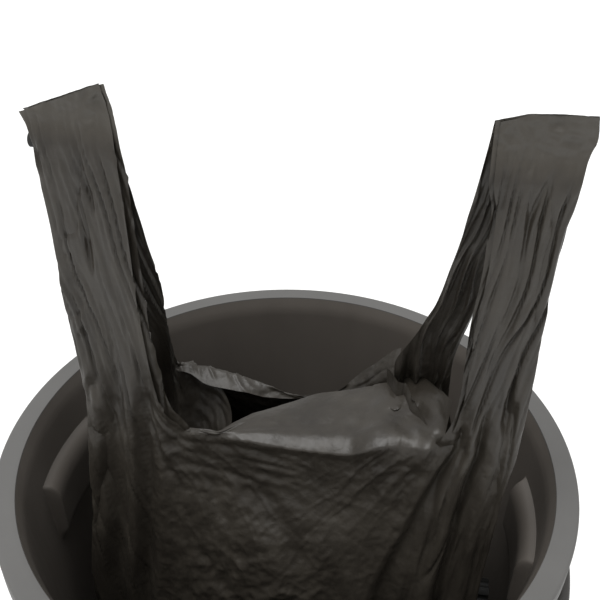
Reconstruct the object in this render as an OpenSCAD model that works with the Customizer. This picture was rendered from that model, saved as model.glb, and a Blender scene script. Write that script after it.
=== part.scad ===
// Round open-topped bin holding a two-post steel frame. The frame's arms carry a T-shirt bag
// by its handles, so that the bag hangs open inside the bin. Millimetres, +Z up, origin at the
// centre of the bin's underside, arms along X.

/* [Bin] */
// Height of the bin, up to the flat top of its rim ring
bin_h = 435; // [420:1:460]
// Outer radius of the rim ring
rim_r = 200; // [196:1:206]
// Width of the rim ring's flat top
rim_w = 14.8; // [12:0.2:15]
// Thickness of the rim ring
rim_t = 4; // [3:0.5:5]
// Height of the rim ring's outer skirt
skirt_h = 18; // [14:1:22]
// Thickness of the bin's wall
wall = 3.5; // [3:0.5:4]
// Inner radius of the wall at its top
mouth_r = 182; // [180:1:184]
// How far the wall leans in for each millimetre down
taper = 0.0655; // [0.055:0.0005:0.07]
// Height of the hollow under the floor
foot_h = 5; // [3:1:6]
// Thickness of the floor
floor_t = 3; // [3:0.5:4]

/* [Hand grips] */
// Arc that each moulded finger pocket covers, in degrees
pocket_arc = 25; // [20:1:28]
// Depth of a pocket's top below the rim
pocket_drop = 42; // [38:1:46]
// Height of a pocket
pocket_h = 60; // [50:1:70]
// Radius of a pocket's inner face
pocket_r = 169; // [168:0.5:171]
// Depth of a side handle's top below the rim
grip_drop = 73; // [68:1:76]
// Outer radius of a side handle
handle_r = 209; // [207:1:212]
// Thickness of a side handle's grip
grip_t = 8; // [6:1:9]
// Height of a side handle's grip
grip_h = 24; // [20:1:26]

/* [Frame] */
// Radius of the round base plate
base_r = 147; // [146:0.5:148]
// Thickness of the base plate
base_t = 3; // [2.5:0.5:4]
// Height of the rubber pads under the base plate
pad_h = 4; // [3:0.5:5]
// Distance of each post from the centre
post_x = 130; // [128:1:131]
// Outer radius of the fixed lower tubes
lower_r = 10; // [10:0.5:10.5]
// Height of the lower tubes' top
lower_top = 314; // [300:1:320]
// Outer radius of the sliding upper tubes
upper_r = 8; // [8:0.1:8.2]
// Height of the upper tubes' lower end
upper_bottom = 150; // [140:1:170]
// Wall of both tubes
tube_wall = 1; // [0.9:0.1:1]

/* [Arms] */
// Height of the crossbars' centre line
bar_z = 650; // [645:1:656]
// Radius of a crossbar
bar_r = 4; // [3.5:0.5:5]
// Length of a crossbar, without its end caps
bar_len = 34; // [32:1:36]
// How far a crossbar's middle lies outside its post
bar_out = 1.5; // [0:0.5:2]

/* [Bag] */
// Thickness of the solids that stand for the bag's film
film = 1.2; // [1.2:0.1:1.5]
// Height of the bag's bottom
bag_bottom = 130; // [120:1:140]
// Height of the bag's mouth
mouth_z = 466; // [460:1:470]
// Height of the handles' top edge
handle_top = 686; // [680:1:690]
// Half of the bag's width
bag_half_w = 154; // [154:1:155]
// Half of the bag's depth, at its fullest
bag_half_d = 75; // [68:1:78]
// Half of the mouth's depth
mouth_half_d = 34; // [32:1:36]

/* [Hidden] */
$fn = 96;
fit = 0.05;

left = -1;
right = 1;
flange_top = bin_h - rim_t;
floor_top = foot_h + floor_t;
function wall_in(z) = mouth_r - taper * (flange_top - z);
function wall_out(z) = wall_in(z) + wall;

// Finger pockets and side handles
pocket_top = bin_h - pocket_drop;
pocket_bottom = pocket_top - pocket_h;
pocket_wall = 3;
pocket_round = 8;
grip_top = bin_h - grip_drop;
grip_bottom = grip_top - grip_h;
grip_z = (grip_top + grip_bottom) / 2;
bracket_arc = 3;
tab_arc = 6;
tab_t = 3;
rivet_r = 2.5;
rivet_angle = pocket_arc / 2 + bracket_arc + tab_arc / 2;

// Frame
pad_r = 9;
pad_ring = 118;
base_z = floor_top + pad_h;
base_top = base_z + base_t;
socket_h = 40;
socket_r = 14;
socket_flange_r = 22;
socket_flange_t = 3;
screw_ring = 17.6;
screw_r = 2;
lower_bore = lower_r - tube_wall;
bush_bore = upper_r + fit;
bush_h = 30;
bush_lip = 3;
collar_r = 15;
collar_h = 26;
clamp_z = lower_top - collar_h / 2;
clamp_r = 3;
boss_r = 6.5;
boss_end = 17;
knob_r = 11;
knob_t = 10;
knob_start = boss_end + 2;
knob_lobes = 6;
knob_end = knob_start + knob_t;
clamp_gap = 0.3;

// Arms
tube_top = bar_z - 9;
spigot_h = 25;
cap_t = 4;
cap_over = 0.6;

// Bag
strap_in = 106;
strap_out = 154;
bag_full_z = 380;
bottom_half_w = 140;
bottom_half_d = 60;
pleat_half = 19;
pleat_x = 100;
bag_round = 22;
loop_half = 13;
loop_z = bar_z - 3;
roof_z = bar_z + 13.5;
seam_half = 1;

// ---- helpers ----

// Turns about the Y axis so that a Z-aligned shape points outward along X
module outward() {
  rotate([0, 90, 0]) children();
}

// Places a shape on the post at the left or the right, facing outward
module at_post(side) {
  rotate([0, 0, side == right ? 0 : 180]) translate([post_x, 0, 0]) children();
}

// Sector of a ring about the Z axis, centred on the given angle
module sector(angle, arc) {
  rotate([0, 0, angle - arc / 2]) rotate_extrude(angle = arc) children();
}

module tube(outer, inner, z0, z1) {
  translate([0, 0, z0]) difference() {
    cylinder(r = outer, h = z1 - z0);
    translate([0, 0, -1]) cylinder(r = inner, h = z1 - z0 + 2);
  }
}

// Points of an arc in the plane of a profile
function arc_points(cx, cy, r, a0, a1, n) =
  [for (i = [0:n]) [cx + r * cos(a0 + (a1 - a0) * i / n), cy + r * sin(a0 + (a1 - a0) * i / n)]];

// ---- bin ----

module shell_profile() {
  floor_round = 14;
  polygon(concat(
    [[0, foot_h], [wall_out(0) - 15, foot_h], [wall_out(0) - 12, 0], [wall_out(0), 0]],
    [[wall_out(flange_top - 4), flange_top - 4], [rim_r - 4, flange_top - 4]],
    [[rim_r - 4, flange_top], [mouth_r, flange_top]],
    arc_points(wall_in(floor_top + floor_round) - floor_round, floor_top + floor_round,
      floor_round, 0, -90, 8),
    [[0, floor_top]]
  ));
}

// Inward bulge of a finger pocket, or the space inside it when it is shrunk by the wall
module pocket_profile(inset, back) {
  round = pocket_round - inset;
  centre_r = pocket_r + pocket_round;
  polygon(concat(
    [[back, pocket_bottom + inset]],
    arc_points(centre_r, pocket_bottom + pocket_round, round, 270, 180, 6),
    arc_points(centre_r, pocket_top - pocket_round, round, 180, 90, 6),
    [[back, pocket_top - inset]]
  ));
}

// Places a shape at each rivet, on the wall's inside and square to the leaning wall
module rivet_place() {
  for (grip = [0, 180], turn = [-rivet_angle, rivet_angle])
    rotate([0, 0, grip + turn]) translate([wall_in(grip_z), 0, grip_z])
      rotate([0, 90 + atan(taper), 0]) children();
}

module bin_shell() {
  end_wall = 1;
  color("#4a4a47") difference() {
    union() {
      rotate_extrude() shell_profile();
      for (a = [0, 180]) sector(a, pocket_arc) pocket_profile(0, wall_in(pocket_bottom) + 2);
    }
    for (a = [0, 180]) sector(a, pocket_arc - 2 * end_wall) pocket_profile(pocket_wall, rim_r);
    rivet_place() translate([0, 0, -10]) cylinder(r = rivet_r, h = 30);
  }
}

module rim_ring() {
  inner = rim_r - rim_w;
  edge = 1.5;
  color("#8d8d8a") rotate_extrude() polygon([
    [inner, flange_top], [inner, bin_h - edge / 2], [inner + edge, bin_h],
    [rim_r - edge, bin_h], [rim_r, bin_h - edge], [rim_r, bin_h - skirt_h],
    [rim_r - 3, bin_h - skirt_h], [rim_r - 4, flange_top]
  ]);
}

module side_handle(angle) {
  bracket_mid = pocket_arc / 2 + bracket_arc / 2;
  tab_mid = rivet_angle;
  color("#41413f") difference() {
    union() {
      sector(angle, pocket_arc + 2 * bracket_arc)
        translate([handle_r - grip_t, grip_bottom]) square([grip_t, grip_h]);
      for (turn = [-1, 1]) {
        sector(angle + turn * bracket_mid, bracket_arc) polygon([
          [wall_out(grip_bottom), grip_bottom], [handle_r, grip_bottom],
          [handle_r, grip_top], [wall_out(grip_top), grip_top]
        ]);
        sector(angle + turn * (tab_mid - bracket_arc / 2), tab_arc + bracket_arc) polygon([
          [wall_out(grip_bottom), grip_bottom], [wall_out(grip_bottom) + tab_t, grip_bottom],
          [wall_out(grip_top) + tab_t, grip_top], [wall_out(grip_top), grip_top]
        ]);
      }
    }
    rivet_place() cylinder(r = rivet_r, h = 20);
  }
}

module side_handle_left() {
  side_handle(180);
}

module side_handle_right() {
  side_handle(0);
}

module handle_rivets() {
  head_r = 4.5;
  head_t = 1.6;
  seat = wall + tab_t + 0.1;
  color("#3f3d38") rivet_place() {
    cylinder(r = rivet_r, h = seat + head_t);
    translate([0, 0, seat]) cylinder(r = head_r, h = head_t);
  }
}

// ---- frame ----

module screw_place() {
  for (side = [left, right]) at_post(side)
    for (i = [0:2]) rotate([0, 0, 180 + 120 * i]) translate([screw_ring, 0, 0]) children();
}

module base_plate() {
  color("#3a3a3a") difference() {
    translate([0, 0, base_z]) cylinder(r = base_r, h = base_t, $fn = 180);
    translate([0, 0, base_z - 1]) screw_place() cylinder(r = screw_r, h = base_t + 2);
  }
}

module base_pads() {
  color("#1d1d1d") for (i = [0:3]) rotate([0, 0, 45 + 90 * i])
    translate([pad_ring, 0, floor_top]) cylinder(r = pad_r, h = pad_h);
}

module socket(side) {
  color("#2e2e2e") difference() {
    at_post(side) difference() {
      union() {
        intersection() {
          translate([0, 0, base_top]) cylinder(r = socket_flange_r, h = socket_flange_t);
          translate([-post_x, 0, base_top]) cylinder(r = base_r, h = socket_flange_t);
        }
        translate([0, 0, base_top]) cylinder(r = socket_r, h = socket_h);
      }
      translate([0, 0, base_top - 1]) cylinder(r = lower_r, h = socket_h + 2);
    }
    translate([0, 0, base_top - 1]) screw_place() cylinder(r = screw_r, h = socket_flange_t + 2);
  }
}

module socket_left() {
  socket(left);
}

module socket_right() {
  socket(right);
}

module socket_screws() {
  head_r = 3.5;
  head_t = 2;
  length = base_t + socket_flange_t;
  color("#c4c4c0") screw_place() {
    translate([0, 0, base_z]) cylinder(r = screw_r, h = length);
    translate([0, 0, base_z + length]) difference() {
      cylinder(r = head_r, h = head_t);
      translate([0, 0, head_t / 2]) cylinder(r = head_r / 2, h = head_t, $fn = 6);
    }
  }
}

module lower_tube(side) {
  color("#a8a8a6") at_post(side) difference() {
    tube(lower_r, lower_bore, base_top, lower_top);
    translate([0, 0, clamp_z]) outward() cylinder(r = clamp_r + 0.5, h = 20);
  }
}

module lower_tube_left() {
  lower_tube(left);
}

module lower_tube_right() {
  lower_tube(right);
}

module guide_bush(side) {
  color("#202020") at_post(side) difference() {
    union() {
      translate([0, 0, lower_top - bush_h]) cylinder(r = lower_bore, h = bush_h);
      translate([0, 0, lower_top]) cylinder(r = lower_r, h = bush_lip);
    }
    translate([0, 0, lower_top - bush_h - 1]) cylinder(r = bush_bore, h = bush_h + bush_lip + 2);
    translate([0, 0, clamp_z]) outward() cylinder(r = clamp_r + 0.5, h = 20);
  }
}

module guide_bush_left() {
  guide_bush(left);
}

module guide_bush_right() {
  guide_bush(right);
}

module clamp_collar(side) {
  color("#262626") at_post(side) difference() {
    union() {
      translate([0, 0, lower_top - collar_h]) cylinder(r = collar_r, h = collar_h);
      translate([0, 0, clamp_z]) outward() cylinder(r = boss_r, h = boss_end);
    }
    translate([0, 0, lower_top - collar_h - 1]) cylinder(r = lower_r, h = collar_h + 2);
    translate([0, 0, clamp_z]) outward() cylinder(r = clamp_r + fit, h = boss_end + 1);
  }
}

module clamp_collar_left() {
  clamp_collar(left);
}

module clamp_collar_right() {
  clamp_collar(right);
}

module clamp_knob(side) {
  flute_r = 3.2;
  color("#151515") at_post(side) translate([knob_start, 0, clamp_z]) outward() difference() {
    cylinder(r = knob_r, h = knob_t);
    translate([0, 0, -1]) cylinder(r = clamp_r, h = knob_t - 1);
    for (i = [1:knob_lobes]) rotate([0, 0, 360 / knob_lobes * i])
      translate([knob_r + flute_r / 3, 0, -1]) cylinder(r = flute_r, h = knob_t + 2);
  }
}

module clamp_knob_left() {
  clamp_knob(left);
}

module clamp_knob_right() {
  clamp_knob(right);
}

module clamp_screw(side) {
  start = upper_r + clamp_gap;
  color("#c9c9c6") at_post(side) translate([start, 0, clamp_z]) outward()
    cylinder(r = clamp_r, h = knob_end - 2 - start);
}

module clamp_screw_left() {
  clamp_screw(left);
}

module clamp_screw_right() {
  clamp_screw(right);
}

// ---- arms ----

module upper_tube(side) {
  color("#bdbdbb") at_post(side) tube(upper_r, upper_r - tube_wall, upper_bottom, tube_top);
}

module upper_tube_left() {
  upper_tube(left);
}

module upper_tube_right() {
  upper_tube(right);
}

module tee_head(side) {
  color("#1c1c1c") at_post(side) difference() {
    union() {
      translate([0, 0, tube_top - spigot_h]) cylinder(r = upper_r - tube_wall, h = spigot_h);
      translate([0, 0, tube_top]) cylinder(r = upper_r, h = bar_z - tube_top);
      translate([0, 0, bar_z]) sphere(r = upper_r);
    }
    translate([-20, 0, bar_z]) outward() cylinder(r = bar_r, h = 40);
  }
}

module tee_head_left() {
  tee_head(left);
}

module tee_head_right() {
  tee_head(right);
}

module crossbar(side) {
  color("#bdbdbb") at_post(side) translate([bar_out - bar_len / 2, 0, bar_z]) outward()
    cylinder(r = bar_r, h = bar_len);
}

module crossbar_left() {
  crossbar(left);
}

module crossbar_right() {
  crossbar(right);
}

module bar_caps(side) {
  color("#111111") at_post(side) translate([bar_out, 0, bar_z]) for (turn = [0, 180])
    rotate([0, 0, turn]) translate([bar_len / 2, 0, 0]) outward()
      cylinder(r = bar_r + cap_over, h = cap_t);
}

module bar_caps_left() {
  bar_caps(left);
}

module bar_caps_right() {
  bar_caps(right);
}

// ---- bag ----

// Side view of the bag body, drawn up from its bottom, shrunk by the film on the inside
module bag_side_profile(inset) {
  half_bottom = bottom_half_d - inset;
  polygon([
    [-half_bottom + bag_round, bag_bottom + inset], [half_bottom - bag_round, bag_bottom + inset],
    [half_bottom, bag_bottom + bag_round], [bag_half_d - inset, bag_full_z],
    [mouth_half_d - inset, mouth_z + inset], [-mouth_half_d + inset, mouth_z + inset],
    [-bag_half_d + inset, bag_full_z], [-half_bottom, bag_bottom + bag_round]
  ]);
}

module bag_front_profile(inset) {
  half_bottom = bottom_half_w - inset;
  half_top = bag_half_w - inset;
  polygon([
    [-half_bottom + bag_round, bag_bottom + inset], [half_bottom - bag_round, bag_bottom + inset],
    [half_bottom, bag_bottom + bag_round], [half_top, mouth_z + inset],
    [-half_top, mouth_z + inset], [-half_bottom, bag_bottom + bag_round]
  ]);
}

module bag_form(inset) {
  length = 400;
  difference() {
    intersection() {
      rotate([90, 0, 90]) linear_extrude(length, center = true) bag_side_profile(inset);
      rotate([90, 0, 0]) linear_extrude(length, center = true) bag_front_profile(inset);
    }
    for (side = [left, right]) at_post(side)
      translate([pleat_x - post_x - inset, -pleat_half - inset, 0])
        cube([length, 2 * (pleat_half + inset), 2 * mouth_z]);
  }
}

// The part of the bag body between two planes across Y
module bag_slice(y0, y1) {
  length = 400;
  intersection() {
    difference() {
      bag_form(0);
      bag_form(film);
    }
    translate([-length / 2, y0, 0]) cube([length, y1 - y0, 2 * mouth_z]);
  }
}

module bag_front_panel() {
  color("#26241f") bag_slice(-2 * bag_half_d, -pleat_half);
}

module bag_back_panel() {
  color("#2b2924") bag_slice(pleat_half, 2 * bag_half_d);
}

// Both side pleats and the strip of the bag's bottom between them
module bag_side_pleats() {
  color("#302d28") rotate([90, 0, 0]) linear_extrude(2 * pleat_half, center = true) difference() {
    translate([-pleat_x, bag_bottom]) square([2 * pleat_x, mouth_z - bag_bottom]);
    translate([-pleat_x + film, bag_bottom + film]) square([2 * (pleat_x - film), mouth_z]);
  }
}

module bag_handle(side) {
  leg = film;
  color("#2b2924") rotate([0, 0, side == right ? 0 : 180])
    translate([strap_in, 0, 0]) rotate([90, 0, 90]) linear_extrude(strap_out - strap_in) polygon([
      [mouth_half_d, mouth_z], [loop_half + leg, loop_z + leg / 2], [seam_half, roof_z + leg],
      [seam_half, handle_top], [-seam_half, handle_top], [-seam_half, roof_z + leg],
      [-loop_half - leg, loop_z + leg / 2], [-mouth_half_d, mouth_z],
      [-mouth_half_d + leg, mouth_z], [-loop_half, loop_z], [0, roof_z],
      [loop_half, loop_z], [mouth_half_d - leg, mouth_z]
    ]);
}

module bag_handle_left() {
  bag_handle(left);
}

module bag_handle_right() {
  bag_handle(right);
}

bin_shell();
rim_ring();
side_handle_left();
side_handle_right();
handle_rivets();
base_plate();
base_pads();
socket_left();
socket_right();
socket_screws();
lower_tube_left();
lower_tube_right();
guide_bush_left();
guide_bush_right();
clamp_collar_left();
clamp_collar_right();
clamp_knob_left();
clamp_knob_right();
clamp_screw_left();
clamp_screw_right();
upper_tube_left();
upper_tube_right();
tee_head_left();
tee_head_right();
crossbar_left();
crossbar_right();
bar_caps_left();
bar_caps_right();
bag_front_panel();
bag_back_panel();
bag_side_pleats();
bag_handle_left();
bag_handle_right();
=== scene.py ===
"""Round bin with a two-post frame that holds a black T-shirt bag open by its handles.

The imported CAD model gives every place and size; this script adds the looks around it.
"""
from math import atan2, cos, degrees, exp, hypot, pi, radians, sin, sqrt
import bmesh
import bpy
import numpy as np
from mathutils import Matrix, Vector, noise


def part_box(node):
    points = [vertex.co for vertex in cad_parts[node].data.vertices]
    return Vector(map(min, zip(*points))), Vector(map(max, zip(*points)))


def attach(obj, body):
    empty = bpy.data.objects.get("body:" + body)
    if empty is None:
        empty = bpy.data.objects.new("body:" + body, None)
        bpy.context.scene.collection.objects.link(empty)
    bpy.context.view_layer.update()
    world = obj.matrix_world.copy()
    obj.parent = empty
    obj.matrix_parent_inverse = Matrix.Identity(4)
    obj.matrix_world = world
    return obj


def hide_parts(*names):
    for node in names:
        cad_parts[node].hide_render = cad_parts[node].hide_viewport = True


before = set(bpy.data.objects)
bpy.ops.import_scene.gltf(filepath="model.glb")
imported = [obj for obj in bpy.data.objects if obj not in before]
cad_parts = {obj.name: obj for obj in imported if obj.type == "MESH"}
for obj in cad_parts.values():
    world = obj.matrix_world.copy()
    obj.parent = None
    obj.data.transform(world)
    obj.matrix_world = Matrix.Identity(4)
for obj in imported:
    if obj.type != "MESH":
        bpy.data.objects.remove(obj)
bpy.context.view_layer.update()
MM = 0.001

# ---- places taken from the frame ----

RIM_LOW, RIM_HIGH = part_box("rim_ring")
SHELL_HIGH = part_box("bin_shell")[1]
RIM_R = RIM_HIGH[0]
RIM_Z = RIM_HIGH[2]
FLANGE_Z = SHELL_HIGH[2]
BAR_LOW, BAR_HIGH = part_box("crossbar_right")
BAR_Z = (BAR_LOW[2] + BAR_HIGH[2]) / 2
HEAD_LOW, HEAD_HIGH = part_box("tee_head_right")
POST_X = (HEAD_LOW[0] + HEAD_HIGH[0]) / 2
POST_R = (HEAD_HIGH[0] - HEAD_LOW[0]) / 2
GRIP_LOW, GRIP_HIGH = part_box("side_handle_right")
BAG_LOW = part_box("bag_front_panel")[0]

# ---- mesh helpers ----


def new_object(name, verts, faces, material, smooth_angle=40.0):
    """A mesh object from points in metres, smooth-shaded up to an angle."""
    mesh = bpy.data.meshes.new(name)
    mesh.from_pydata([tuple(v) for v in verts], [], faces)
    mesh.validate()
    obj = bpy.data.objects.new(name, mesh)
    bpy.context.scene.collection.objects.link(obj)
    mesh.materials.append(material)
    shade(obj, smooth_angle)
    return obj


def shade(obj, smooth_angle=40.0):
    """Shades smooth, with edges sharper than the angle kept crisp."""
    bm = bmesh.new()
    bm.from_mesh(obj.data)
    bmesh.ops.recalc_face_normals(bm, faces=bm.faces)
    for face in bm.faces:
        face.smooth = True
    for edge in bm.edges:
        if len(edge.link_faces) == 2:
            edge.smooth = edge.calc_face_angle(0) < radians(smooth_angle)
    bm.to_mesh(obj.data)
    bm.free()


def arc(cx, cz, r, a0, a1, n):
    """Points of an arc, angles in degrees."""
    return [
        (cx + r * cos(radians(a0 + (a1 - a0) * i / n)), cz + r * sin(radians(a0 + (a1 - a0) * i / n)))
        for i in range(n + 1)
    ]


def grid_faces(columns, rows, close_columns, close_rows=False):
    """Quads of a columns x rows grid of points, stored column by column."""
    faces = []
    for i in range(columns if close_columns else columns - 1):
        for j in range(rows if close_rows else rows - 1):
            a, b = i * rows, (i + 1) % columns * rows
            k = (j + 1) % rows
            faces.append((a + j, b + j, b + k, a + k))
    return faces


def revolve(name, profile, azimuths, material, move=None, smooth_angle=40.0):
    """A closed profile turned about Z. move(r, z, azimuth) may shift a point's radius."""
    verts = []
    for azimuth in azimuths:
        for r, z in profile:
            radius = r + (move(r, z, azimuth) if move else 0.0)
            verts.append((radius * cos(azimuth), radius * sin(azimuth), z))
    faces = grid_faces(len(azimuths), len(profile), True, True)
    return new_object(name, verts, faces, material, smooth_angle)


def smoothstep(a, b, x):
    t = min(1.0, max(0.0, (x - a) / (b - a)))
    return t * t * (3 - 2 * t)


# ---- materials ----


class Nodes:
    """Short calls for building a material's node tree."""

    def __init__(self, name):
        self.material = bpy.data.materials.new(name)
        self.material.use_nodes = True
        self.tree = self.material.node_tree
        self.shader = self.tree.nodes["Principled BSDF"]
        self.place = self.add("ShaderNodeTexCoord").outputs["Object"]

    def add(self, kind, **values):
        node = self.tree.nodes.new(kind)
        for key, value in values.items():
            setattr(node, key, value)
        return node

    def link(self, out, socket):
        self.tree.links.new(out, socket)

    def stretch(self, scale):
        node = self.add("ShaderNodeMapping")
        node.inputs["Scale"].default_value = scale
        self.link(self.place, node.inputs["Vector"])
        return node.outputs["Vector"]

    def height(self):
        node = self.add("ShaderNodeSeparateXYZ")
        self.link(self.place, node.inputs["Vector"])
        return node.outputs["Z"]

    def noise(self, scale, detail=4.0, rough=0.5, vector=None, distortion=0.0):
        node = self.add("ShaderNodeTexNoise")
        node.inputs["Scale"].default_value = scale
        node.inputs["Detail"].default_value = detail
        node.inputs["Roughness"].default_value = rough
        node.inputs["Distortion"].default_value = distortion
        self.link(vector or self.place, node.inputs["Vector"])
        return node.outputs["Fac"]

    def cells(self, scale, feature="DISTANCE_TO_EDGE", vector=None):
        node = self.add("ShaderNodeTexVoronoi", feature=feature)
        node.inputs["Scale"].default_value = scale
        self.link(vector or self.place, node.inputs["Vector"])
        return node.outputs["Distance"]

    def ramp(self, value, stops):
        node = self.add("ShaderNodeValToRGB")
        for i, (at, colour) in enumerate(stops):
            element = node.color_ramp.elements[i] if i < 2 else node.color_ramp.elements.new(at)
            element.position = at
            element.color = (*colour, 1.0)
        self.link(value, node.inputs["Fac"])
        return node.outputs["Color"]

    def spread(self, value, low, high, from_low=0.3, from_high=0.7):
        node = self.add("ShaderNodeMapRange")
        node.inputs["From Min"].default_value = from_low
        node.inputs["From Max"].default_value = from_high
        node.inputs["To Min"].default_value = low
        node.inputs["To Max"].default_value = high
        self.link(value, node.inputs["Value"])
        return node.outputs["Result"]

    def math(self, operation, a, b):
        node = self.add("ShaderNodeMath", operation=operation)
        for socket, value in zip(node.inputs, (a, b)):
            if isinstance(value, (int, float)):
                socket.default_value = value
            else:
                self.link(value, socket)
        return node.outputs["Value"]

    def bump(self, height, strength, distance, after=None):
        node = self.add("ShaderNodeBump")
        node.inputs["Strength"].default_value = strength
        node.inputs["Distance"].default_value = distance
        self.link(height, node.inputs["Height"])
        if after is not None:
            self.link(after, node.inputs["Normal"])
        return node.outputs["Normal"]

    def finish(self, colour=None, roughness=None, normal=None, **fixed):
        inputs = self.shader.inputs
        if colour is not None:
            self.link(colour, inputs["Base Color"])
        if roughness is not None:
            self.link(roughness, inputs["Roughness"])
        if normal is not None:
            self.link(normal, inputs["Normal"])
        for key, value in fixed.items():
            inputs[key.replace("_", " ")].default_value = value
        return self.material


def moulded_plastic(name, dark, light, roughness, grain=0.25, sheen=0.5):
    """Injection-moulded plastic: fine spark grain, faint flow clouds and scuffs."""
    n = Nodes(name)
    cloud = n.noise(9.0, 5.0, 0.6)
    scuff = n.noise(60.0, 6.0, 0.7, n.stretch((1.0, 1.0, 0.15)))
    tone = n.math("ADD", n.math("MULTIPLY", cloud, 0.75), n.math("MULTIPLY", scuff, 0.25))
    colour = n.ramp(tone, [(0.35, dark), (0.65, light)])
    rough = n.spread(scuff, roughness - 0.05, roughness + 0.07)
    fine = n.noise(2600.0, 2.0, 0.5)
    normal = n.bump(fine, grain, 0.00012, n.bump(n.noise(35.0, 3.0), 0.12, 0.0012))
    return n.finish(colour, rough, normal, Specular_IOR_Level=sheen)


def brushed_metal(name, dark, light, roughness, along=(1.0, 1.0, 0.02)):
    """Steel tube with fine drawn lines along its length."""
    n = Nodes(name)
    lines = n.noise(1500.0, 3.0, 0.6, n.stretch(along))
    smudge = n.noise(30.0, 4.0, 0.6)
    tone = n.math("ADD", n.math("MULTIPLY", lines, 0.5), n.math("MULTIPLY", smudge, 0.5))
    colour = n.ramp(tone, [(0.35, dark), (0.65, light)])
    rough = n.spread(tone, roughness - 0.08, roughness + 0.1)
    return n.finish(colour, rough, n.bump(lines, 0.15, 0.0001), Metallic=1.0)


def powder_coat(name, dark, light):
    """Fine orange-peel powder coat with a faintly cloudy tone."""
    n = Nodes(name)
    tone = n.noise(16.0, 4.0, 0.6)
    colour = n.ramp(tone, [(0.35, dark), (0.7, light)])
    peel = n.noise(700.0, 2.0, 0.5)
    return n.finish(colour, n.spread(peel, 0.42, 0.58), n.bump(peel, 0.3, 0.0002))


def rubber(name, dark, light):
    """Matt rubber with dusty patches."""
    n = Nodes(name)
    dust = n.noise(120.0, 5.0, 0.7)
    colour = n.ramp(dust, [(0.4, dark), (0.75, light)])
    return n.finish(colour, n.spread(dust, 0.7, 0.9), n.bump(n.noise(1500.0), 0.25, 0.00015))


def zinc_plate(name):
    """Bright zinc on screws, with faint yellow and blue patches."""
    n = Nodes(name)
    tint = n.noise(260.0, 3.0, 0.5)
    colour = n.ramp(tint, [(0.3, (0.5, 0.52, 0.56)), (0.7, (0.66, 0.64, 0.56))])
    return n.finish(colour, n.spread(tint, 0.25, 0.42), n.bump(tint, 0.1, 0.0001), Metallic=1.0)


def bag_film(name):
    """Thin black polythene: glossy and finely crackled, with a painted highlight that makes the film paler
    at the sealed fins at the top.
    """
    n = Nodes(name)
    haze = n.noise(14.0, 5.0, 0.65)
    streak = n.noise(70.0, 4.0, 0.6, n.stretch((1.0, 1.0, 0.2)))
    tone = n.math("ADD", n.math("MULTIPLY", haze, 0.6), n.math("MULTIPLY", streak, 0.4))
    # Painted highlight: the colour is made paler above the fins' seal height, in place of the light the
    # fins catch.
    painted_fin_highlight = n.spread(n.height(), 0.0, 0.34, 0.652, 0.667)
    colour = n.ramp(n.math("ADD", tone, painted_fin_highlight), [
        (0.35, (0.022, 0.0186, 0.0146)), (0.66, (0.044, 0.038, 0.0294)), (1.0, (0.072, 0.066, 0.056))])
    rough = n.spread(tone, 0.36, 0.52)
    crackle = n.cells(150.0, vector=None)
    crease = n.noise(130.0, 5.0, 0.65, None, 0.6)
    normal = n.bump(crease, 0.35, 0.0012, n.bump(crackle, 0.18, 0.0009))
    return n.finish(colour, rough, normal, IOR=1.5, Specular_IOR_Level=0.5)


BIN = moulded_plastic("bin_plastic", (0.092, 0.081, 0.070), (0.110, 0.097, 0.084), 0.55)
RIM = moulded_plastic("rim_plastic", (0.108, 0.106, 0.102), (0.124, 0.122, 0.118), 0.6, 0.25, 0.3)
GRIP = moulded_plastic("grip_plastic", (0.045, 0.043, 0.040), (0.06, 0.057, 0.052), 0.55)
BLACK = moulded_plastic("black_plastic", (0.007, 0.007, 0.007), (0.012, 0.012, 0.011), 0.6, 0.35, 0.2)
STEEL = brushed_metal("tube_steel", (0.46, 0.46, 0.45), (0.64, 0.64, 0.63), 0.3)
RIVET = moulded_plastic("rivet_plastic", (0.088, 0.077, 0.067), (0.104, 0.092, 0.080), 0.6)
ZINC = zinc_plate("zinc_steel")
COAT = powder_coat("frame_paint", (0.022, 0.022, 0.022), (0.036, 0.036, 0.035))
RUBBER = rubber("pad_rubber", (0.014, 0.014, 0.014), (0.03, 0.029, 0.027))
FILM = bag_film("bag_film")

CAD_LOOKS = {
    "handle_rivets": RIVET, "base_plate": COAT, "base_pads": RUBBER, "socket_left": COAT,
    "socket_right": COAT, "socket_screws": ZINC, "lower_tube_left": STEEL,
    "lower_tube_right": STEEL, "guide_bush_left": BLACK, "guide_bush_right": BLACK,
    "clamp_collar_left": BLACK, "clamp_collar_right": BLACK, "clamp_knob_left": BLACK,
    "clamp_knob_right": BLACK, "clamp_screw_left": ZINC, "clamp_screw_right": ZINC,
    "upper_tube_left": STEEL, "upper_tube_right": STEEL, "tee_head_left": BLACK,
    "tee_head_right": BLACK, "crossbar_left": STEEL, "crossbar_right": STEEL,
    "bar_caps_left": RUBBER, "bar_caps_right": RUBBER,
}


def dress_cad_nodes():
    """Gives every CAD node that is kept as it is its material."""
    for name, material in CAD_LOOKS.items():
        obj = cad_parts[name]
        obj.data.materials.clear()
        obj.data.materials.append(material)


# ---- bin ----

MOUTH_R = 0.182
RIM_W = 0.0148
TAPER = 0.0655
WALL = 0.0035
FLOOR_Z = 0.008
FOOT_Z = 0.005
POCKET_HALF = radians(12.5)
POCKET_R = 0.169
POCKET_TOP = RIM_Z - 0.042
POCKET_LOW = POCKET_TOP - 0.060


def wall_in(z):
    """The bin wall's inner radius at a height."""
    return MOUTH_R - TAPER * (FLANGE_Z - z)


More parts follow.
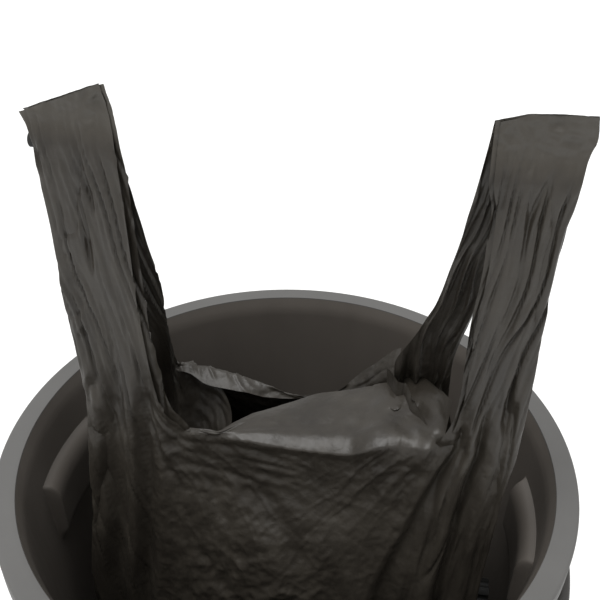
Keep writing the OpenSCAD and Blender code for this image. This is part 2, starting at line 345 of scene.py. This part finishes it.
def pocket_depth(z, azimuth):
    """How far a finger pocket pushes the wall inward there."""
    side = 0.0 if cos(azimuth) > 0 else pi
    turn = abs((azimuth - side + pi) % (2 * pi) - pi)
    across = 1 - smoothstep(POCKET_HALF - radians(1.0), POCKET_HALF + radians(0.6), turn)
    down = min(1.0, max(0.0, (POCKET_TOP - z) / 0.017))
    top = sqrt(1 - (1 - down) ** 2)
    bottom = smoothstep(POCKET_LOW - 0.001, POCKET_LOW + 0.012, z)
    return across * top * bottom * (wall_in(z) - POCKET_R)


def pocket_azimuths():
    """Azimuths round the bin, close together at the pockets' ends."""
    half = list(np.arange(-16, 16, 0.2)) + list(np.arange(16, 164, 2.0))
    return [radians(a) for a in half] + [radians(a + 180) for a in half]


def bin_shell():
    """The bin's wall and floor, with the two finger pockets moulded in."""
    foot_w, round_r = 0.013, 0.014
    ring_in = RIM_R - RIM_W - 0.0001
    levels = list(np.arange(FLANGE_Z - 0.009, POCKET_TOP + 0.001, -0.004))
    levels += list(np.arange(POCKET_TOP + 0.0005, POCKET_TOP - 0.018, -0.0007))
    levels += list(np.arange(POCKET_TOP - 0.0195, POCKET_LOW - 0.012, -0.0025))
    levels += list(np.linspace(POCKET_LOW - 0.016, FLOOR_Z + round_r + 0.004, 22))
    inner = [(wall_in(z), z) for z in levels]
    outer = [(wall_in(z) + WALL, z) for z in reversed(levels)]
    low_r = wall_in(0.0) + WALL
    centre_z = FLOOR_Z + round_r
    profile = [(0.0005, FLOOR_Z)]
    profile += [(r, FLOOR_Z) for r in (0.03, 0.06, 0.09, 0.12)]
    profile += arc(wall_in(centre_z) - round_r, centre_z, round_r, -90, 0, 6)
    profile += list(reversed(inner))
    profile += [(MOUTH_R + 0.0008, FLANGE_Z - 0.003), (ring_in - 0.0006, RIM_Z - 0.0022)]
    profile += [(ring_in - 0.0002, RIM_Z - 0.0008), (ring_in, RIM_Z - 0.001), (ring_in, FLANGE_Z)]
    profile += [(RIM_R - 0.004, FLANGE_Z), (RIM_R - 0.004, FLANGE_Z - 0.004)]
    profile += [(wall_in(FLANGE_Z) + WALL + 0.003, FLANGE_Z - 0.004)]
    profile += arc(wall_in(FLANGE_Z) + WALL + 0.003, FLANGE_Z - 0.007, 0.003, 90, 180, 4)[1:]
    profile += list(reversed(outer))
    profile += arc(low_r - 0.002, 0.002, 0.002, 0, -90, 3)
    profile += [(low_r - foot_w, 0.0), (low_r - foot_w - 0.002, FOOT_Z), (0.0005, FOOT_Z)]
    shell = revolve("bin_wall", profile, pocket_azimuths(), BIN,
                    lambda r, z, a: -pocket_depth(z, a) if r > 0.15 else 0.0, 35.0)
    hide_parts("bin_shell")
    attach(shell, "bin")
    return shell


def rim_ring():
    """The flat rim ring, with softened edges and a rolled skirt."""
    edge, bead = 0.0022, 0.0015
    inner = RIM_R - RIM_W
    low = RIM_LOW[2]
    profile = [(inner, FLANGE_Z), *arc(inner + 0.0004, RIM_Z - 0.0004, 0.0004, 180, 90, 3)]
    profile += [(inner + RIM_W * t, RIM_Z) for t in (0.3, 0.5, 0.7)]
    profile += arc(RIM_R - edge, RIM_Z - edge, edge, 90, 0, 6)
    profile += [(RIM_R, RIM_Z - 0.010), *arc(RIM_R - bead, low + bead, bead, 0, -180, 6)]
    profile += [(RIM_R - 0.0035, FLANGE_Z - 0.001), (RIM_R - 0.006, FLANGE_Z)]
    azimuths = [2 * pi * i / 220 for i in range(220)]
    ring = revolve("rim_band", profile, azimuths, RIM, None, 50.0)
    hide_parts("rim_ring")
    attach(ring, "bin")
    return ring


def side_handle(side):
    """A rounded grip that stands off the wall, with a riveted tab at each end."""
    name = "left" if side < 0 else "right"
    z0, z1 = GRIP_LOW[2], GRIP_HIGH[2]
    mid, half_h, half_t = (z0 + z1) / 2, (z1 - z0) / 2, 0.004
    centre_r = GRIP_HIGH[0] - half_t
    wall_r = wall_in(mid) + WALL - 0.001
    ends, bend = radians(14.0), 0.014
    path = []
    for i in range(5):
        r = wall_r + (centre_r - bend - wall_r) * i / 4
        path.append((r, -ends))
    turn_steps = 7
    for i in range(1, turn_steps + 1):
        t = pi / 2 * i / turn_steps
        path.append((centre_r - bend + bend * sin(t), -ends + bend / centre_r * (1 - cos(t))))
    inner_half = ends - bend / centre_r
    path += [(centre_r, a) for a in np.linspace(-inner_half, inner_half, 26)[1:-1]]
    path += [(r, -a) for r, a in reversed(path[:5 + turn_steps])]
    points = [Vector((r * cos(a), r * sin(a), mid)) for r, a in path]
    corner = 0.0032
    section = []
    for cx, cz, a0 in ((1, 1, 0), (-1, 1, 90), (-1, -1, 180), (1, -1, 270)):
        section += arc(cx * (half_t - corner), cz * (half_h - corner), corner, a0, a0 + 90, 4)
    verts = []
    for i, point in enumerate(points):
        ahead = points[min(i + 1, len(points) - 1)] - points[max(i - 1, 0)]
        side_dir = ahead.normalized().cross(Vector((0, 0, 1)))
        verts += [point + side_dir * u + Vector((0, 0, w)) for u, w in section]
    faces = grid_faces(len(points), len(section), False, True)
    turn = Matrix.Rotation(0 if side > 0 else pi, 4, "Z")
    grip = new_object(f"grip_{name}", [turn @ v for v in verts], faces, GRIP, 50.0)
    tabs = [handle_tab(f"grip_tab_{name}_{i}", turn, radians(a), z0, z1)
            for i, a in enumerate((-18.2, 18.2))]
    for tab in tabs:
        tab.parent = grip
    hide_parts(f"side_handle_{name}")
    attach(grip, "bin")
    return grip


def handle_tab(name, turn, azimuth, z0, z1):
    """The flat end of a side handle that lies on the bin's wall."""
    half_w, thick, corner = 0.0105, 0.0032, 0.004
    mid, half_h = (z0 + z1) / 2, (z1 - z0) / 2
    outline = []
    for cx, cz, a0 in ((1, 1, 0), (-1, 1, 90), (-1, -1, 180), (1, -1, 270)):
        outline += arc(cx * (half_w - corner), cz * (half_h - corner), corner, a0, a0 + 90, 5)
    verts = []
    for lift, shrink in ((-0.0006, 0.0), (thick - 0.0008, 0.0), (thick, 0.0008)):
        for u, w in outline:
            scale_u, scale_w = 1 - shrink / half_w, 1 - shrink / half_h
            z = mid + w * scale_w
            r = wall_in(z) + WALL + lift
            a = azimuth + u * scale_u / r
            verts.append(turn @ Vector((r * cos(a), r * sin(a), z)))
    count = len(outline)
    faces = []
    for level in range(2):
        a, b = level * count, (level + 1) * count
        faces += [(a + i, a + (i + 1) % count, b + (i + 1) % count, b + i) for i in range(count)]
    faces.append(tuple(reversed(range(count))))
    faces.append(tuple(range(2 * count, 3 * count)))
    tab = new_object(name, verts, faces, GRIP, 30.0)
    return tab


# ---- bag ----
# Places in this section are in millimetres of the part's own frame.

BOTTOM = BAG_LOW[2] / MM
STRAP_COLS, STRAP_ROWS = 14, 46
MID_COLS, BODY_ROWS = 36, 62
GUSSET_COLS = 8
FRONT_FLAP_ROWS, BACK_FLAP_ROWS = 14, 5


def smooth_curve(*stops):
    """A smooth function through a few (position, value) stops, flat beyond its ends."""
    stops = sorted(stops)
    t = np.array([a for a, _ in stops], float)
    v = np.array([b for _, b in stops], float)
    rise = np.diff(v) / np.diff(t)
    slope = np.concatenate(([rise[0]], np.zeros(len(t) - 2), [rise[-1]]))
    for i in range(1, len(t) - 1):
        if rise[i - 1] * rise[i] > 0:
            slope[i] = 2 * rise[i - 1] * rise[i] / (rise[i - 1] + rise[i])

    def value(at):
        at = min(max(at, t[0]), t[-1])
        i = min(max(int(np.searchsorted(t, at)) - 1, 0), len(t) - 2)
        h = t[i + 1] - t[i]
        k = (at - t[i]) / h
        return float(
            v[i] * (1 + 2 * k) * (1 - k) ** 2 + slope[i] * h * k * (1 - k) ** 2
            + v[i + 1] * k * k * (3 - 2 * k) - slope[i + 1] * h * k * k * (1 - k)
        )

    return value


# Each strap's outer fold and inner cut edge: X at a few heights
EDGES = {
    ("front", "left"): (
        smooth_curve((686, -158), (668, -157), (660, -152), (650, -150.5), (625, -147.5), (605, -145),
                     (555, -141), (510, -135.5), (480, -134), (457, -134.5), (420, -136.5), (380, -138.5),
                     (310, -144), (160, -140), (142, -131), (130, -106)),
        smooth_curve((686, -105), (655, -98), (610, -93), (513, -84), (481, -75), (466, -62),
                     (430, -74), (300, -78), (130, -80)),
    ),
    ("front", "right"): (
        smooth_curve((687, 160), (672, 162), (668, 159), (650, 157.5), (620, 155), (600, 153.5),
                     (540, 153), (480, 152), (460, 149.5), (421, 147.5), (365, 145), (300, 146),
                     (160, 139), (142, 131), (130, 106)),
        smooth_curve((686, 111), (650, 112), (632, 116), (606, 116), (560, 113.5), (525, 114),
                     (500, 112), (478, 103), (430, 92), (300, 84), (130, 80)),
    ),
    ("back", "left"): (
        smooth_curve((686, -158), (668, -157), (660, -152), (640, -147), (540, -136), (480, -132),
                     (380, -133), (290, -138), (160, -139), (142, -131), (130, -106)),
        smooth_curve((686, -106), (648, -106), (620, -101.5), (580, -98.5), (541, -93.5), (494, -94),
                     (468, -89), (430, -84), (130, -80)),
    ),
    ("back", "right"): (
        smooth_curve((687, 160), (672, 162), (668, 159), (650, 154), (600, 134), (560, 119),
                     (540, 116), (520, 112), (500, 110), (463, 111), (400, 125), (300, 138),
                     (160, 139), (142, 131), (130, 106)),
        smooth_curve((686, 111), (657, 109), (640, 107.5), (620, 105), (600, 103), (580, 99.5),
                     (560, 96), (537, 89), (517, 81), (495, 72), (430, 78), (130, 80)),
    ),
}
FIN_TOP = {
    "left": smooth_curve((-157, 667), (-130, 677), (-105, 686)),
    "right": smooth_curve((111, 681), (130, 686), (160, 687)),
}
LIP = {
    "front": smooth_curve((-62, 466), (-20, 466), (20, 464), (48, 465), (70, 476), (103, 480)),
    "back": smooth_curve((-91, 470), (-42, 463), (7, 450), (28, 448), (50, 458), (72, 478)),
}
# How far the straps and the sides of the bag stand from the middle plane
STAND_OFF = smooth_curve((686, 0.7), (675, 1.2), (666, 3.0), (656, 6.3), (648, 8.3), (636, 9.4),
                         (600, 15), (466, 34),
                         (400, 44), (290, 54), (200, 52), (160, 42), (142, 26), (130, 1.2))
BULGE = smooth_curve((470, 0), (455, -2.5), (436, -2), (400, 8), (370, 15), (260, 22), (180, 14), (130, 0))
LAYER_GAP = smooth_curve((686, 0.3), (662, 0.4), (640, 1.8), (560, 3.2), (466, 2.6), (420, 1.0))
# The front film's flap folded into the mouth: its free edge's Y and Z along X
FLAP_Y = smooth_curve((-62, -30), (-43, -30), (-34, -16), (-10, 4), (9, 16), (38, 26), (66, 34),
                      (84, 36), (96, 8), (103, -24))
FLAP_Z = smooth_curve((-62, 467), (-34, 466), (-10, 464), (14, 466), (60, 473), (84, 482),
                      (96, 496), (103, 512))
# The back film's flap: how far it reaches forward, or leans out where it is negative
BACK_FLAP = smooth_curve((-91, 6), (-60, 16), (-30, 13), (0, 6), (16, 1), (32, -8), (50, -18), (72, -20))
# Inner folds of the side gussets: X, Y and the height of their free top
GUSSET_X = {
    "left": smooth_curve((450, -37), (400, -58), (330, -70), (130, -66)),
    "right": smooth_curve((480, 76), (420, 74), (330, 72), (130, 66)),
}
GUSSET_Y = {"left": smooth_curve((450, -9), (380, -2), (130, 0)),
            "right": smooth_curve((480, 12), (380, 3), (130, 0))}
GUSSET_TOP = {"left": 447.0, "right": 492.0}


def strap_point(face, side, across, z, layer):
    """A point of a strap: across runs from its outer fold to its inner edge."""
    outer, inner = (edge(z) for edge in EDGES[face, side])
    sign = -1 if face == "front" else 1
    if layer > 0:
        inner += -2.5 if side == "right" else 2.5
    gap = LAYER_GAP(z) * (1 - (1 - across) ** 2)
    bulge = 0.32 * across * BULGE(z) if layer < 0 else 0.0
    return [outer + (inner - outer) * across, sign * (STAND_OFF(z) - layer * gap + bulge), z]


def body_column(col):
    """Which stretch of a body sheet a column is in, and how far along it."""
    if col <= STRAP_COLS:
        return "left", col / STRAP_COLS
    if col >= STRAP_COLS + MID_COLS:
        return "right", (2 * STRAP_COLS + MID_COLS - col) / STRAP_COLS
    return "middle", (col - STRAP_COLS) / MID_COLS


def body_point(face, col, row):
    """A point of the front or back sheet between the bottom seal and the mouth."""
    part, along = body_column(col)
    edges = {side: EDGES[face, side] for side in ("left", "right")}
    left_x, right_x = (edges[side][1](LIP[face](edges[side][1](470))) for side in ("left", "right"))
    if part == "middle":
        top = LIP[face](left_x + (right_x - left_x) * along)
    else:
        top = LIP[face](left_x if part == "left" else right_x)
    z = BOTTOM + (top - BOTTOM) * row / BODY_ROWS
    sign = -1 if face == "front" else 1
    if part != "middle":
        return strap_point(face, part, along, z, -1)
    x0, x1 = edges["left"][1](z), edges["right"][1](z)
    reach = 0.32 + 0.68 * sin(pi * along)
    return [x0 + (x1 - x0) * along, sign * (STAND_OFF(z) + LAYER_GAP(z) + BULGE(z) * reach), z]


def flap_point(face, col, row, rows):
    """A point of the film folded inward at the mouth, from the lip to its free edge."""
    lip = body_point(face, STRAP_COLS + col, BODY_ROWS)
    along = row / rows
    if face == "front":
        end = [lip[0] + 3, FLAP_Y(lip[0]), FLAP_Z(lip[0])]
        sag = 3.5 * sin(pi * along) * min(1.0, (end[1] - lip[1]) / 40)
        rise = 2.5 * sin(pi * min(1.0, along * 3))
    else:
        reach = BACK_FLAP(lip[0])
        inward, down = (1.0, 0.35) if reach > 0 else (0.6, 0.9)
        end = [lip[0], lip[1] - reach * inward, lip[2] - reach * down]
        sag, rise = 0.0, 1.0 * sin(pi * along)
    point = [a + (b - a) * along for a, b in zip(lip, end)]
    point[2] += sag + rise
    return point


def gusset_point(face, side, col, row, rows=BODY_ROWS):
    """A point of a side gusset, from the bag's side fold to the gusset's inner fold."""
    cols = STRAP_COLS + GUSSET_COLS
    across = col / cols
    lip_x = EDGES[face, side][1](470)
    start_z = LIP[face](EDGES[face, side][1](LIP[face](lip_x)))
    beyond = max(0.0, (col - STRAP_COLS) / GUSSET_COLS)
    top = start_z + (GUSSET_TOP[side] - start_z) * beyond ** 0.8
    z = BOTTOM + (top - BOTTOM) * row / rows
    fold = [GUSSET_X[side](z), GUSSET_Y[side](z), z]
    strap = strap_point(face, side, min(1.0, col / STRAP_COLS), z, 1)
    near = [a + (b - a) * beyond for a, b in zip(strap, fold)]
    if face == "back":
        near[1] += 13 * sin(pi * beyond)
        near[0] += (8 if side == "left" else -8) * sin(pi * beyond)
    outer = strap_point(face, side, 0.0, z, 1)
    vee = [a + (b - a) * across for a, b in zip(outer, fold)]
    blend = smoothstep(0.0, 80.0, start_z - z) if col < cols else 1.0
    return [a + (b - a) * blend for a, b in zip(near, vee)]


def strap_sheet(face, side, layer):
    """Rows of a strap's layer from the mouth to the top of its sealed fin."""
    start_z = LIP[face](EDGES[face, side][1](LIP[face](EDGES[face, side][1](470))))

    def point(col, row):
        across = col / STRAP_COLS
        outer, inner = (edge(686) for edge in EDGES[face, side])
        top = FIN_TOP[side](outer + (inner - outer) * across)
        z = start_z + (top - start_z) * row / STRAP_ROWS
        if row == 0 and layer < 0:
            return body_point(face, col if side == "left" else 2 * STRAP_COLS + MID_COLS - col, BODY_ROWS)
        return strap_point(face, side, across, z, layer)

    return point


class Film:
    """Collects grids of film, which bag_mesh then welds where their edges meet."""

    def __init__(self):
        self.verts, self.faces = [], []

    def grid(self, cols, rows, point):
        start = len(self.verts)
        for i in range(cols + 1):
            for j in range(rows + 1):
                self.verts.append([c * MM for c in point(i, j)])
        for i in range(cols):
            for j in range(rows):
                a = start + i * (rows + 1) + j
                b = a + rows + 1
                self.faces.append((a, b, b + 1, a + 1))


def bag_mesh():
    """The whole bag as one sheet of film: panels, gussets, straps and the flaps at its mouth."""
    film = Film()
    for face in ("front", "back"):
        flap_rows = FRONT_FLAP_ROWS if face == "front" else BACK_FLAP_ROWS
        film.grid(2 * STRAP_COLS + MID_COLS, BODY_ROWS, lambda i, j: body_point(face, i, j))
        film.grid(MID_COLS, flap_rows, lambda i, j: flap_point(face, i, j, flap_rows))
        for side in ("left", "right"):
            film.grid(STRAP_COLS + GUSSET_COLS, BODY_ROWS, lambda i, j: gusset_point(face, side, i, j))
            for layer in (-1, 1):
                film.grid(STRAP_COLS, STRAP_ROWS, strap_sheet(face, side, layer))
    bag = new_object("bag", film.verts, film.faces, FILM, 180.0)
    bm = bmesh.new()
    bm.from_mesh(bag.data)
    bmesh.ops.remove_doubles(bm, verts=bm.verts, dist=0.00005)
    bmesh.ops.recalc_face_normals(bm, faces=bm.faces)
    crease = bm.edges.layers.float.new("crease_edge")
    lip = np.array([body_point("front", STRAP_COLS + i, BODY_ROWS) for i in range(MID_COLS + 1)]) * MM
    for edge in bm.edges:
        if all(np.abs(lip - np.array(v.co)).sum(axis=1).min() < 0.0003 for v in edge.verts):
            edge[crease] = 0.75
    bm.to_mesh(bag.data)
    bm.free()
    return bag


def ridge(x, y, z):
    """Noise with sharp crests, from about -1 to 1."""
    return 1 - 2.6 * abs(noise.noise(Vector((x, y, z))))


def groove(x, y, z, width=0.16):
    """Narrow valleys, down to -1, on an even surface."""
    return -max(0.0, 1 - abs(noise.noise(Vector((x, y, z)))) / width)


def facet(x, y, z):
    """Crumpled cells with sharp creases between them, from about -0.3 to 0.7."""
    near, next_near = noise.voronoi(Vector((x, y, z)))[0][:2]
    return next_near - near - 0.3


def broad_folds(p):
    """Height of the large waves in the film, which the simulation starts from."""
    x, y, z = (c / MM for c in p)
    strap = max(smoothstep(440, 500, z), smoothstep(76, 104, abs(x)))
    fin = smoothstep(640, 668, z)
    warp = 1.2 * noise.noise(Vector((x / 70, y / 60, z / 80)))
    lean = x - 0.13 * (665 - z) * (-1 if x > 0 else 1)
    drawn = ridge(lean / 17 + warp, y / 50, z / 190) * (1.8 + 1.6 * smoothstep(480, 420, z))
    middle = exp(-((x + 4) / 48) ** 2 - ((z - 335) / 50) ** 2)
    waves = ridge(x / 46 + warp, y / 42, z / 60) * (1.6 + 4.0 * middle)
    calm = 1 - 0.8 * smoothstep(-38, -24, y) * (1 - smoothstep(20, 30, y))
    cluster = exp(-((x - 94) / 24) ** 2 - ((z - 486) / 24) ** 2)
    knot = ridge(x / 17, y / 17, z / 17) * 4.0 * cluster * (1 - smoothstep(-10, 10, y))
    return (drawn * strap * (1 - fin) + waves * (1 - strap) * calm + knot) * MM


def fan(x, y, z, apex_x, apex_z, inward):
    """Folds that spread like rays from where a strap draws the panel up."""
    dx, dz = (x - apex_x) * inward, apex_z - z
    reach, turn = hypot(dx, dz), atan2(dx, dz)
    if turn < -0.6:
        return 0.0
    near = smoothstep(4, 26, reach) * exp(-reach / 90)
    warp = 0.5 * noise.noise(Vector((x / 38, y / 50, z / 38)))
    folds = ridge(turn * 4.6 + warp, reach / 150, y / 70 + inward) * 2.2
    folds += groove(turn * 8.5 + 1.4 * warp, reach / 90, y / 70, 0.13) * 2.0
    folds += groove(turn * 17 + warp, reach / 50, y / 70 + 4, 0.2) * 0.8
    return folds * near


# Deep folds along the bag's sides, which run on from the straps: depth by distance from the edge
SIDE_FOLDS = {
    "left": smooth_curve((0, -1), (4, 1), (11, 2), (17, -2), (22, -5), (27, -3), (32, 4), (36, 4.5),
                         (41, -1), (46, -4.5), (51, -1), (57, 1.5), (66, 0)),
    "right": smooth_curve((0, 0), (4, 2), (9, 1), (15, 3), (21, 1), (25, -6), (28, 2), (31, 5), (34, -1),
                          (37, -5), (42, 1), (48, 0)),
}


def side_folds(x, y, z):
    """Depth of the deep folds along the bag's sides, which fan out on the right."""
    side = "right" if x > 0 else "left"
    outer = EDGES["front" if y < 0 else "back", side][0](z)
    wander = 3.5 * noise.noise(Vector((z / 60, y / 200, 3.0 if x > 0 else 8.0)))
    inward = abs(x - outer)
    drop = max(0.0, 480 - z)
    if x > 0:
        fanned = smoothstep(26 + 0.052 * drop, 36 + 0.256 * drop, inward)
        inward /= 1 + drop * (0.002 + 0.0051 * fanned)
    inward += wander
    return 0.85 * SIDE_FOLDS[side](inward) * (1 - smoothstep(478, 520, z)) * smoothstep(135, 185, z)


def drawn_folds(x, y, z):
    """Long narrow folds down the straps, fading out in the sides of the bag."""
    side = -1 if x > 0 else 1
    warp = 0.9 * noise.noise(Vector((x / 50, y / 50, z / 60)))
    lean = x - (0.21 if x < 0 else 0.16) * (665 - z) * side
    patch = smoothstep(-0.25, 0.3, noise.noise(Vector((x / 26, y / 40, z / 75 + 3))))
    folds = ridge(lean / 15 + warp, y / 50, z / 190) * 0.9
    folds += groove(lean / 8.5 + warp, y / 60, z / 130, 0.13) * 3.0 * (0.45 + patch)
    folds += groove(lean / 4.4 + warp, y / 50, z / 70 + 7, 0.2) * 0.9
    folds += ridge(lean / 3.2, y / 40, z / 30) * 0.12
    strap = max(smoothstep(462, 505, z), 0.7 * smoothstep(84, 100, abs(x)))
    return folds * strap * (1 - 0.9 * smoothstep(628, 672, z)) * smoothstep(135, 185, z)


def shared_folds(p):
    """How far the film is moved along Y, all its layers together."""
    x, y, z = (c / MM for c in p)
    outward = -1 if y < 0 else 1
    fin = smoothstep(656, 674, z)
    wave = fin * (0.8 * ridge(x / 17, z / 14, 0.3) + 2.6 * facet(x / 9, z / 8, 2.0))
    return (wave + outward * (side_folds(x, y, z) + drawn_folds(x, y, z))) * MM


def fine_folds(p):
    """Height of the creases of the panels: folds fanning from the straps, crumpled film."""
    x, y, z = (c / MM for c in p)
    strap = max(smoothstep(462, 505, z), 0.8 * smoothstep(84, 104, abs(x)))
    warp = 0.9 * noise.noise(Vector((x / 50, y / 50, z / 60)))
    shelf = smoothstep(-37, -31, y) * (1 - smoothstep(22, 30, y)) * smoothstep(455, 462, z)
    fans = (fan(x, y, z, -98, 500, 1) + fan(x, y, z, 118, 512, -1)) * (1 - strap) * (1 - shelf)
    under = smoothstep(412, 440, z) * (1 - smoothstep(458, 463, z)) * smoothstep(-84, -60, x)
    slant = z + 0.16 * x
    fans += ridge(x / 70 + 3, y / 50, slant / 8.5) * 1.3 * under * (1 - smoothstep(0, 60, x)) * (1 - strap)
    middle = exp(-((x + 4) / 50) ** 2 - ((z - 335) / 55) ** 2)
    cluster = exp(-((x - 92) / 22) ** 2 - ((z - 484) / 26) ** 2) * (1 - smoothstep(0, 16, y))
    crumpled = facet(x / 17 + warp, y / 17, z / 17) * (1.0 + 3.2 * middle + 3.0 * cluster)
    crumpled += ridge(x / 24 + warp, y / 24, z / 30) * 2.4 * middle
    crumpled += facet(x / 7.5, y / 7.5, z / 7.5) * (0.7 + 0.8 * middle + 1.0 * cluster)
    crumpled += facet(x / 4, y / 4, z / 4) * 0.25
    free = (1 - strap) * (1 - 0.75 * shelf)
    return (fans + crumpled * max(free, 0.2 * (1 - smoothstep(500, 560, z)), 0.12)) * MM


def displace(obj, height, shared=0.0):
    """Moves each vertex along its normal by height(point), and along Y with its other layers."""
    bm = bmesh.new()
    bm.from_mesh(obj.data)
    bm.normal_update()
    moves = [v.normal * height(v.co) for v in bm.verts]
    for v, move in zip(bm.verts, moves):
        along_y = shared_folds(v.co) * shared if shared else 0.0
        v.co += Vector((0.35 * move.x, move.y + along_y, move.z))
    bm.to_mesh(obj.data)
    bm.free()


def apply_modifiers(obj):
    """Replaces an object's mesh by what its modifiers make of it, and removes them."""
    bpy.context.view_layer.update()
    evaluated = obj.evaluated_get(bpy.context.evaluated_depsgraph_get())
    mesh = bpy.data.meshes.new_from_object(evaluated)
    obj.modifiers.clear()
    obj.data = mesh


def refine(obj):
    """One level of subdivision, applied."""
    subdivide = obj.modifiers.new("refine", "SUBSURF")
    subdivide.levels = subdivide.render_levels = 1
    subdivide.boundary_smooth = "PRESERVE_CORNERS"
    apply_modifiers(obj)


def hold_weights(obj):
    """Weights for the simulation: fins, loops and bottom held, lip and seams partly, the rest lightly."""
    group = obj.vertex_groups.new(name="held")
    for vertex in obj.data.vertices:
        x, y, z = (c / MM for c in vertex.co)
        firm = max(smoothstep(630, 652, z), 1 - smoothstep(135, 165, z))
        lip = 0.7 * exp(-((z - 470) / 14) ** 2)
        face, side = "front" if y < 0 else "back", "left" if x < 0 else "right"
        outer, inner = (edge(z) for edge in EDGES[face, side])
        across = (x - outer) / (inner - outer)
        seam = 0.85 * max(1 - smoothstep(0.04, 0.14, across), smoothstep(0.9, 0.98, across) * (z > 470))
        group.add([vertex.index], min(1.0, max(firm, lip, seam, 0.16)), "REPLACE")
    return group.name


def slack_shape(obj):
    """A rest shape with more film in it: straps are wider than their gathered width."""
    obj.shape_key_add(name="hung")
    slack = obj.shape_key_add(name="slack")
    for vertex, point in zip(obj.data.vertices, slack.data):
        x, y, z = (c / MM for c in vertex.co)
        strap = max(smoothstep(440, 500, z), smoothstep(70, 96, abs(x)))
        middle = 122 if x > 0 else -115
        wide = x * 1.03 + strap * (x - middle) * 0.17
        point.co = Vector((wide, y * 1.03, z * 1.015)) * MM
    return slack


def settle(obj, frames=22):
    """Lets slack film buckle and sag under its own weight, and keeps the result."""
    scene = bpy.context.scene
    cloth = obj.modifiers.new("cloth", "CLOTH")
    settings = cloth.settings
    settings.quality = 6
    settings.mass = 0.12
    settings.tension_stiffness = settings.compression_stiffness = 18
    settings.shear_stiffness = 9
    settings.bending_stiffness = 0.02
    settings.tension_damping = settings.compression_damping = settings.shear_damping = 6
    settings.air_damping = 3
    settings.rest_shape_key = slack_shape(obj)
    settings.vertex_group_mass = hold_weights(obj)
    settings.pin_stiffness = 6
    cloth.collision_settings.use_collision = False
    cloth.collision_settings.use_self_collision = True
    cloth.collision_settings.self_distance_min = 0.0012
    cloth.point_cache.frame_start, cloth.point_cache.frame_end = 1, frames
    scene.frame_start, scene.frame_end = 1, frames
    for step in range(1, frames + 1):
        scene.frame_set(step)
    apply_modifiers(obj)
    obj.vertex_groups.clear()
    scene.frame_set(1)


def clear_posts(obj, sides, spare=0.7, soft=1.5):
    """Drapes the film around the posts and tee heads; sides says which face each vertex is on."""
    lowest, furthest = 590, 22  # where the film comes near a post: above this height, within this of it
    top = POST_R / MM + spare
    for vertex, side in zip(obj.data.vertices, sides):
        x, y, z = (c / MM for c in vertex.co)
        away = hypot(abs(x) - POST_X / MM, max(0.0, z - BAR_Z / MM))
        if z > lowest and away < furthest:
            least = top - away ** 2 / (2 * top)
            out = side * y
            vertex.co.y = side * 0.5 * (out + least + sqrt((out - least) ** 2 + soft ** 2)) * MM


def plastic_bag():
    """The bag: drawn, let settle, refined, creased and draped round the posts."""
    bag = bag_mesh()
    displace(bag, broad_folds)
    settle(bag)
    refine(bag)
    refine(bag)
    sides = [1 if vertex.co.y > 0 else -1 for vertex in bag.data.vertices]
    displace(bag, fine_folds, 1.0)
    clear_posts(bag, sides)
    for part in ("front_panel", "back_panel", "side_pleats", "handle_left", "handle_right"):
        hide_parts(f"bag_{part}")
    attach(bag, "bag")
    return bag


# ---- stage ----


def stage():
    """Pale floor, soft studio light and a pale surround."""
    size = 12.0
    floor_look = Nodes("floor")
    tone = floor_look.ramp(floor_look.noise(3.0), [(0.3, (0.9, 0.9, 0.89)), (0.7, (0.93, 0.93, 0.92))])
    floor_look.finish(tone, floor_look.spread(floor_look.noise(40.0), 0.7, 0.85))
    floor = new_object("floor", [(-size, -size, 0), (size, -size, 0), (size, size, 0), (-size, size, 0)],
                       [(0, 1, 2, 3)], floor_look.material)
    world = bpy.data.worlds.new("studio")
    bpy.context.scene.world = world
    world.use_nodes = True
    back = world.node_tree.nodes["Background"]
    back.inputs["Color"].default_value = (1.0, 1.0, 1.0, 1.0)
    back.inputs["Strength"].default_value = 0.6
    sun = bpy.data.lights.new("overhead", "SUN")
    sun.energy, sun.angle = 2.5, radians(46)
    lamp = bpy.data.objects.new("overhead", sun)
    bpy.context.scene.collection.objects.link(lamp)
    lamp.rotation_euler = (radians(7), radians(-9), 0.0)


def camera():
    """Stands where the photographer stood: above the front, looking down into the bin."""
    data = bpy.data.cameras.new("camera")
    data.sensor_width, data.lens = 36.0, 45.4
    cam = bpy.data.objects.new("camera", data)
    bpy.context.scene.collection.objects.link(cam)
    heading, down, roll = radians(10.0), radians(33.89), radians(0.644)
    turn = Matrix.Rotation(heading, 4, "Z") @ Matrix.Rotation(pi / 2 - down, 4, "X")
    cam.matrix_world = (
        Matrix.Translation((0.0758, -0.3843, RIM_Z + 0.3847)) @ turn @ Matrix.Rotation(roll, 4, "Z")
    )
    bpy.context.scene.camera = cam
    bpy.context.scene.view_settings.view_transform = "Standard"
    return cam


camera()
stage()
dress_cad_nodes()
bin_shell()
rim_ring()
side_handle(-1)
side_handle(1)
plastic_bag()
